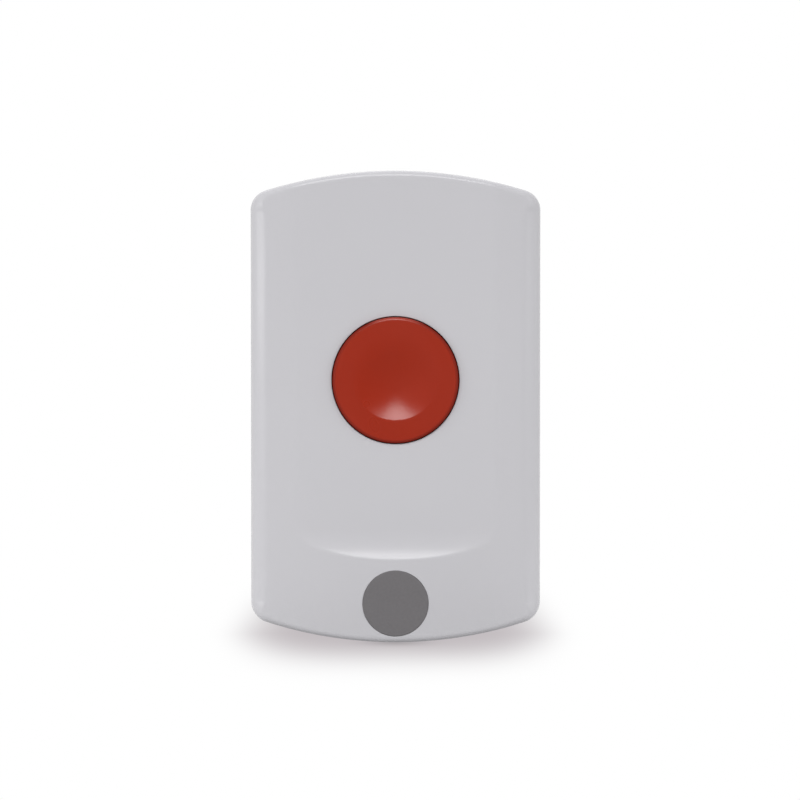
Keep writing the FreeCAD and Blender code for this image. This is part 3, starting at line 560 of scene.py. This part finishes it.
finishes = {
    # glass epoxy board under green solder mask
    "board_laminate": plain("epoxyBoardGreen", "#0E4A2A", "#14593A", 0.35),
    # glass filled nylon and epoxy mouldings: near black, dull
    "black_plastic": plain("nylonBlack", "#151515", "#1E1E1E", 0.5),
    # zinc plated steel: bluish grey, slightly uneven
    "screw_steel": plain("zincPlatedSteel", "#8E9298", "#A3A7AD", 0.35, 1.0),
    # drawn spring wire: brighter and smoother
    "spring_steel": plain("springSteel", "#9A9A98", "#B0B0AE", 0.25, 1.0),
    # tinned sheet: soft bright silver
    "tinned_steel": plain("tinnedSteel", "#B4B4B0", "#C6C6C2", 0.3, 1.0),
    # nickel plated cell can
    "cell_can": plain("nickelCan", "#A8A69E", "#BDBBB3", 0.25, 1.0),
    # enamelled copper wire
    "antenna_wire": plain("enamelledCopper", "#8A4A22", "#A35C2E", 0.3, 1.0),
    # aluminium can of the capacitor
    "capacitor_can": plain("aluminiumCan", "#A0A2A4", "#B4B6B8", 0.35, 1.0),
    # alumina and tin ends of the chips, as one sandy tone
    "chip_ceramic": plain("chipCeramic", "#7A6A52", "#8C7B62", 0.5),
    "case_plastic": caseAbs, "button_plastic": buttonAbs, "badge_plastic": badgeInk,
}

packed = {"merge": 0.002, "sharp": 30.0}  # as for the meshes above, by modifiers


def finish(node):
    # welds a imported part's loose faces and shades it smooth between its edges
    slot = node.data.materials[0].name.split(".")[0]
    node.data.materials[0] = finishes[slot]
    node.data.shade_smooth()
    weld = node.modifiers.new("weld", "WELD")
    weld.merge_threshold = packed["merge"] * mm
    split = node.modifiers.new("edges", "EDGE_SPLIT")
    split.split_angle = math.radians(packed["sharp"])
    node.modifiers.new("normals", "WEIGHTED_NORMAL")


drawn = ("front_cover", "badge_disc", "panic_button")  # these have a piece of their own above
for name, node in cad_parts.items():
    if name not in drawn:
        finish(node)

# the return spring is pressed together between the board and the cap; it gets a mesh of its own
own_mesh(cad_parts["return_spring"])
print("packed parts finished:", len(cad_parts) - len(drawn))


# floor, light and camera

studio = {
    "floorUp": -43.0, "floorSize": 900.0, "fibre": 3.0,
    "paper": (0.44, 0.46), "paperGlow": 0.30,  # the sweep is lit from below as well as above
    "bounce": 0.67,  # share of both that the object is lit with
    "floorFade": (80.0, 170.0),  # the floor turns into the white surround between these radii
    # the painted soft shadow round the foot: half width, reach in front and behind, tone where
    # deepest
    "shade": (28.3, 56.4, 135.8, "#C2BCBF"),
    "shadePowers": (4.0, 1.4, 2.0),  # across, along and of both together
    # the painted contact shadow, a close dark line under the foot: half width, half depth, tone,
    # share
    "contact": (5.5, 6.0, "#8A8688", 0.5),
    "ambient": 0.42,
    # a dark card on the floor and up behind the camera: nearest and farthest, half width,
    # height, and how far it lies over the floor. Then the weave of its cloth
    "flag": (45.0, 1400.0, 1500.0, 760.0, 0.5), "weave": 2.0,
    "aim": (0.82, -15.0, 1.1), "distance": 1000.0, "elevation": 2.75,
    "pixelsPerMm": 5.462, "pictureWidth": 800, "sensor": 36.0,
    "clip": (10.0, 50000.0),  # nearest and farthest that the camera sees
}
lights = {
    # azimuth and elevation in degrees, distance, width and height in mm, and radiance in whites
    "key": (-4, 40, 1000, 570, 400, 6.0),
    "overhead": (180, 58, 800, 350, 500, 7.2),
    "fill": (-12, 4, 1500, 1500, 1000, 0.35),
    "left": (-62, 8, 1000, 600, 600, 2.4),
    "right": (66, 6, 1000, 600, 600, 2.7),
    "leftCard": (-70, 4, 300, 250, 42, 3.2),
    "floorLamp": (180, 70, 800, 350, 500, 10.5),  # reaches the floor only
}
reflected = ("key", "leftCard")  # only these lights show in reflections


def paintedFootShadow(tree, where):
    # the paper as the camera sees it, with a painted shadow: exp(-(across ** a + along ** b) ** c)
    # of the painted shade's tone in white, then exp(-(across ** 2 + along ** 2)) of the painted
    # contact shadow's tone under the front edge
    def step(operation, *values):
        return addNode(tree, "ShaderNodeMath", dict(enumerate(values)),
                       operation=operation).outputs["Value"]

    def power(value, size, exponent):
        # (size of the value in millimetres / size) ** exponent
        return step("POWER", step("ABSOLUTE", step("DIVIDE", value, size * mm)), exponent)

    def fallOff(value):
        return step("EXPONENT", step("MULTIPLY", value, -1.0))

    def tint(factor, under, code):
        return addNode(tree, "ShaderNodeMix", {"Factor": factor, "A": under, "B": linear(code)},
                       data_type="RGBA").outputs["Result"]

    apart = addNode(tree, "ShaderNodeSeparateXYZ", {"Vector": where})
    x, y = apart.outputs["X"], apart.outputs["Y"]
    wide, before, behind, tone = studio["shade"]
    acrossPower, alongPower, bothPower = studio["shadePowers"]
    along = step("MAXIMUM", step("DIVIDE", y, behind * mm), step("DIVIDE", y, -before * mm))
    both = step("ADD", power(x, wide, acrossPower), step("POWER", along, alongPower))
    soft = tint(fallOff(step("POWER", both, bothPower)), linear("#FFFFFF"), tone)
    wide, deep, tone, share = studio["contact"]
    front = step("ADD", y, case["depth"] * mm)
    close = fallOff(step("ADD", power(x, wide, 2.0), power(front, deep, 2.0)))
    return tint(step("MULTIPLY", close, share), soft, tone)


def floorMaterial():
    # white paper sweep on a light table. The camera sees pure white round a painted soft shadow,
    # reflections see lit paper, and a duller white is left for the light that bounces off
    material = bpy.data.materials.new("paperSweepWhite")
    material.use_nodes = True
    tree = material.node_tree
    shader = tree.nodes["Principled BSDF"]
    where = addNode(tree, "ShaderNodeTexCoord").outputs["Object"]
    fibre = addNode(tree, "ShaderNodeTexNoise", {
        "Vector": where, "Scale": 1 / (studio["fibre"] * mm), "Detail": 2.0})
    path = addNode(tree, "ShaderNodeLightPath")
    mirrored = path.outputs["Is Glossy Ray"]
    (low, high), bounce, glow = studio["paper"], studio["bounce"], studio["paperGlow"]
    paper = addNode(tree, "ShaderNodeMix", {
        "Factor": fibre.outputs["Fac"], "A": (low, low, low, 1), "B": (high, high, high, 1)},
        data_type="RGBA")
    dull = (high * bounce, high * bounce, high * bounce, 1)
    shown = addNode(tree, "ShaderNodeMix", {
        "Factor": mirrored, "A": dull, "B": paper.outputs["Result"]}, data_type="RGBA")
    tree.links.new(shown.outputs["Result"], shader.inputs["Base Color"])
    light = addNode(tree, "ShaderNodeMapRange", {
        "Value": mirrored, "To Min": glow * bounce, "To Max": glow})
    tree.links.new(light.outputs["Result"], shader.inputs["Emission Strength"])
    shader.inputs["Emission Color"].default_value = (1, 1, 1, 1)
    shader.inputs["Roughness"].default_value = 0.9
    shader.inputs["Specular IOR Level"].default_value = 0.0
    # the camera sees the paper as this emission, with the painted shadow round the foot
    paintedShadowGlow = addNode(tree, "ShaderNodeEmission", {"Color": paintedFootShadow(tree, where)})
    looked = addNode(tree, "ShaderNodeMixShader", {
        0: path.outputs["Is Camera Ray"], 1: shader.outputs["BSDF"],
        2: paintedShadowGlow.outputs["Emission"]})
    away = addNode(tree, "ShaderNodeVectorMath", {0: where}, operation="LENGTH")
    start, end = studio["floorFade"]
    fade = addNode(tree, "ShaderNodeMapRange", {
        "Value": away.outputs["Value"], "From Min": start * mm, "From Max": end * mm},
        interpolation_type="SMOOTHSTEP")
    side = addNode(tree, "ShaderNodeNewGeometry")  # nothing of the paper shows from below
    gone = addNode(tree, "ShaderNodeMath", {0: fade.outputs["Result"],
                                            1: side.outputs["Backfacing"]}, operation="MAXIMUM")
    clear = addNode(tree, "ShaderNodeBsdfTransparent")
    both = addNode(tree, "ShaderNodeMixShader", {
        0: gone.outputs["Value"], 1: looked.outputs["Shader"], 2: clear.outputs["BSDF"]})
    tree.links.new(both.outputs["Shader"], tree.nodes["Material Output"].inputs["Surface"])
    return material


def addFloor():
    # one flat square at the level of the object's foot
    half = studio["floorSize"] * mm / 2
    up = studio["floorUp"] * mm
    mesh = bpy.data.meshes.new("floor")
    mesh.from_pydata([(-half, -half, up), (half, -half, up), (half, half, up), (-half, half, up)],
                     [], [(0, 1, 2, 3)])
    mesh.materials.append(floorMaterial())
    floor = bpy.data.objects.new("floor", mesh)
    bpy.context.scene.collection.objects.link(floor)
    return floor


def addArea(name, azimuth, elevation, distance, width, height, white):
    # an area light aimed at the object; azimuth 0 is in front, 90 on the right. Its radiance is
    # given as a multiple of white
    side, lift = math.radians(azimuth), math.radians(elevation)
    way = mathutils.Vector((math.sin(side) * math.cos(lift), -math.cos(side) * math.cos(lift),
                            math.sin(lift)))
    data = bpy.data.lights.new(name, "AREA")
    data.shape = "ELLIPSE"
    data.size, data.size_y = width * mm, height * mm
    data.energy = white * math.pi ** 2 / 4 * data.size * data.size_y
    light = bpy.data.objects.new(name, data)
    bpy.context.scene.collection.objects.link(light)
    light.location = way * distance * mm
    light.rotation_euler = way.to_track_quat("Z", "Y").to_euler()
    light.visible_camera = False
    light.visible_glossy = name in reflected
    return light


def addFlag():
    # the dark side of the studio: reflections towards the camera end in it, nothing else sees it
    near, far, half, height, over = (size * mm for size in studio["flag"])
    up = studio["floorUp"] * mm + over
    mesh = bpy.data.meshes.new("flag")
    mesh.from_pydata([(side * half, out, rise) for out, rise in
                      ((-near, up), (-far, up), (-far, height)) for side in (-1, 1)],
                     [], [(0, 1, 3, 2), (2, 3, 5, 4)])
    cloth = bpy.data.materials.new("blackCloth")
    cloth.use_nodes = True
    shader = cloth.node_tree.nodes["Principled BSDF"]
    weave = addNode(cloth.node_tree, "ShaderNodeTexNoise", {
        "Scale": 1 / (studio["weave"] * mm)})
    tone = addNode(cloth.node_tree, "ShaderNodeMix", {
        "Factor": weave.outputs["Fac"], "A": linear("#0C0C0C"), "B": linear("#161616")},
        data_type="RGBA")
    cloth.node_tree.links.new(tone.outputs["Result"], shader.inputs["Base Color"])
    shader.inputs["Roughness"].default_value = 1.0
    mesh.materials.append(cloth)
    flag = bpy.data.objects.new("flag", mesh)
    bpy.context.scene.collection.objects.link(flag)
    flag.visible_camera = flag.visible_diffuse = flag.visible_shadow = False


def addWorld():
    # white where the camera or a reflection looks, a dim even light for everything else
    world = bpy.data.worlds.new("studio")
    bpy.context.scene.world = world
    world.use_nodes = True
    tree = world.node_tree
    back = tree.nodes["Background"]
    path = addNode(tree, "ShaderNodeLightPath")
    seen = path.outputs["Is Camera Ray"]
    for ray in ("Is Glossy Ray", "Is Transmission Ray"):
        seen = addNode(tree, "ShaderNodeMath", {0: seen, 1: path.outputs[ray]},
                       operation="MAXIMUM").outputs["Value"]
    level = studio["ambient"]
    tone = addNode(tree, "ShaderNodeMix", {
        "Factor": seen, "A": (level, level, level, 1), "B": (1, 1, 1, 1)}, data_type="RGBA")
    tree.links.new(tone.outputs["Result"], back.inputs["Color"])
    back.inputs["Strength"].default_value = 1.0


def addCamera():
    # a long lens from the front and slightly above, with the scale at the object given in pixels
    data = bpy.data.cameras.new("camera")
    camera = bpy.data.objects.new("camera", data)
    bpy.context.scene.collection.objects.link(camera)
    bpy.context.scene.camera = camera
    lift = math.radians(studio["elevation"])
    aim = mathutils.Vector(studio["aim"]) * mm
    away = mathutils.Vector((0, -math.cos(lift), math.sin(lift))) * studio["distance"] * mm
    camera.location = aim + away
    camera.rotation_euler = (-away).to_track_quat("-Z", "Y").to_euler()
    data.sensor_width = studio["sensor"]
    data.lens = (studio["pixelsPerMm"] * studio["distance"] * studio["sensor"]
                 / studio["pictureWidth"])
    data.clip_start, data.clip_end = (distance * mm for distance in studio["clip"])


floor = addFloor()
addFlag()
addWorld()
lamps = {name: addArea(name, *values) for name, values in lights.items()}
floorOnly = bpy.data.collections.new("floorOnly")
floorOnly.objects.link(floor)
lamps["floorLamp"].light_linking.receiver_collection = floorOnly
addCamera()
view = bpy.context.scene.view_settings
view.view_transform = "Standard"
print("stage set")
